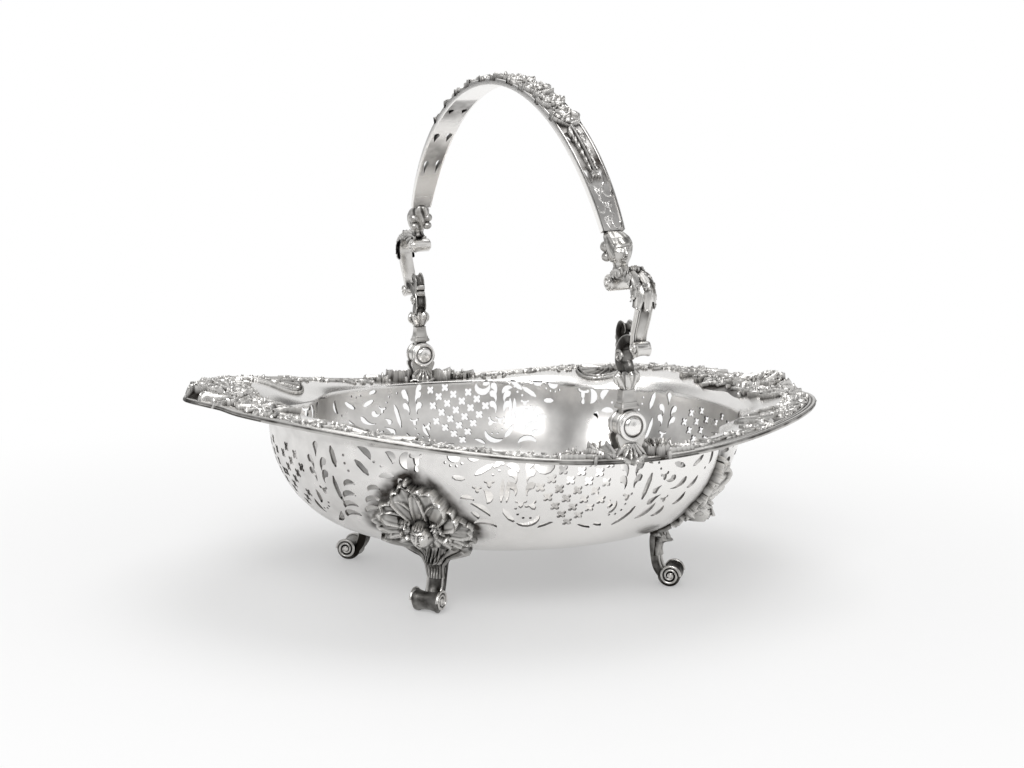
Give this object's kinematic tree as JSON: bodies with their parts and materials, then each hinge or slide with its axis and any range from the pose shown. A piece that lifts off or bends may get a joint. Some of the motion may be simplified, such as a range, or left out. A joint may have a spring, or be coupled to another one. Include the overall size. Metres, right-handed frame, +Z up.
{
  "type": "swing-handle basket",
  "caption": "Oval silver basket with a pierced wall, a cast shell and flower border, scrolled mask feet and a swing handle.",
  "frame": {"origin": "on the floor under the middle of the basket", "axes": "+Z up, X along the basket, Y across it through both hinges"},
  "size_m": [0.3736, 0.3252, 0.2859],
  "materials": {
    "silver_sheet": "polished and softly worn sheet silver",
    "silver_cast": "cast and chased silver, bright on the high points with dark recesses",
    "silver_oxidised": "cast silver with heavy dark tarnish in the recesses"
  },
  "bodies": {
    "basket": {"bowl": "silver_sheet", "hinge_pin_far": "silver_sheet", "hinge_pin_near": "silver_sheet", "pin_cap_far": "silver_sheet", "pin_cap_near": "silver_sheet", "border_far_right": "silver_cast", "border_far_left": "silver_cast", "border_near_left": "silver_cast", "border_near_right": "silver_cast", "flange_fan_far_right": "silver_cast", "flange_fan_far_left": "silver_cast", "flange_fan_near_left": "silver_cast", "flange_fan_near_right": "silver_cast", "hinge_flowers_far_right": "silver_cast", "hinge_flowers_far_left": "silver_cast", "hinge_flowers_near_left": "silver_cast", "hinge_flowers_near_right": "silver_cast", "end_shell_right": "silver_cast", "end_shell_left": "silver_cast", "hinge_lug_far": "silver_cast", "hinge_lug_near": "silver_cast", "foot_far_right": "silver_oxidised", "foot_far_left": "silver_oxidised", "foot_near_left": "silver_oxidised", "foot_near_right": "silver_oxidised", "mask_far_right": "silver_oxidised", "mask_far_left": "silver_oxidised", "mask_near_left": "silver_oxidised", "mask_near_right": "silver_oxidised"},
    "handle": {"handle_knuckle_far": "silver_cast", "handle_capital_far": "silver_oxidised", "lower_scroll_far": "silver_oxidised", "upper_scroll_far": "silver_cast", "shoulder_leaf_far": "silver_cast", "handle_head_far": "silver_oxidised", "handle_knuckle_near": "silver_cast", "handle_capital_near": "silver_oxidised", "lower_scroll_near": "silver_oxidised", "upper_scroll_near": "silver_cast", "shoulder_leaf_near": "silver_cast", "handle_head_near": "silver_oxidised", "handle_arch": "silver_sheet", "arch_crest": "silver_cast", "arch_spray_far": "silver_cast", "arch_spray_near": "silver_cast"}
  },
  "joints": [
    {"name": "handle_swing", "type": "hinge", "parent": "basket", "child": "handle", "pos_m": [0, 0, 0.1097], "axis": [0, 1, 0], "range_deg": [-80, 86]}
  ]
}
